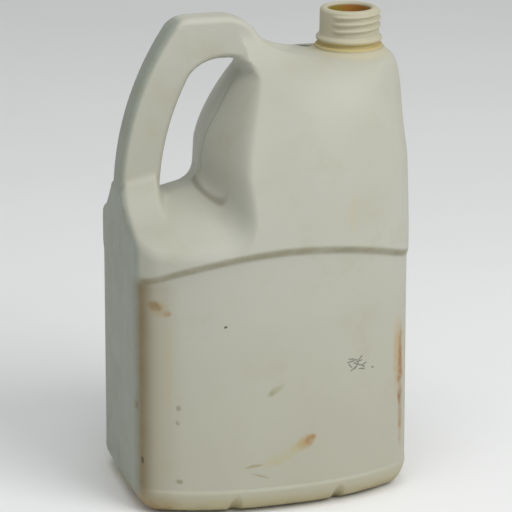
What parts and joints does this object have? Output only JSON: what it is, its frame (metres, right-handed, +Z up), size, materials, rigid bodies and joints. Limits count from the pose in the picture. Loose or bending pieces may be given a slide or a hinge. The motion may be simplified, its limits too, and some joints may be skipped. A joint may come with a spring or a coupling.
{
  "type": "plastic jug",
  "caption": "oblong blow-moulded five litre plastic jug with a hollow loop handle, an arched ledge round its body and an open threaded neck, standing upright on its flat base",
  "frame": {"origin": "centre of the footprint of the whole jug, on the plane it stands on", "axes": "+Z up; +X from the handle side towards the neck side; Y across the narrow depth; the parting plane of the mould is y = 0"},
  "size_m": [0.1777, 0.1372, 0.2996],
  "materials": {
    "hdpe": "natural off-white HDPE, satin, yellowed at the neck and foot, with rust and dirt marks"
  },
  "bodies": {
    "root": {"jug": "hdpe"}
  },
  "joints": []
}
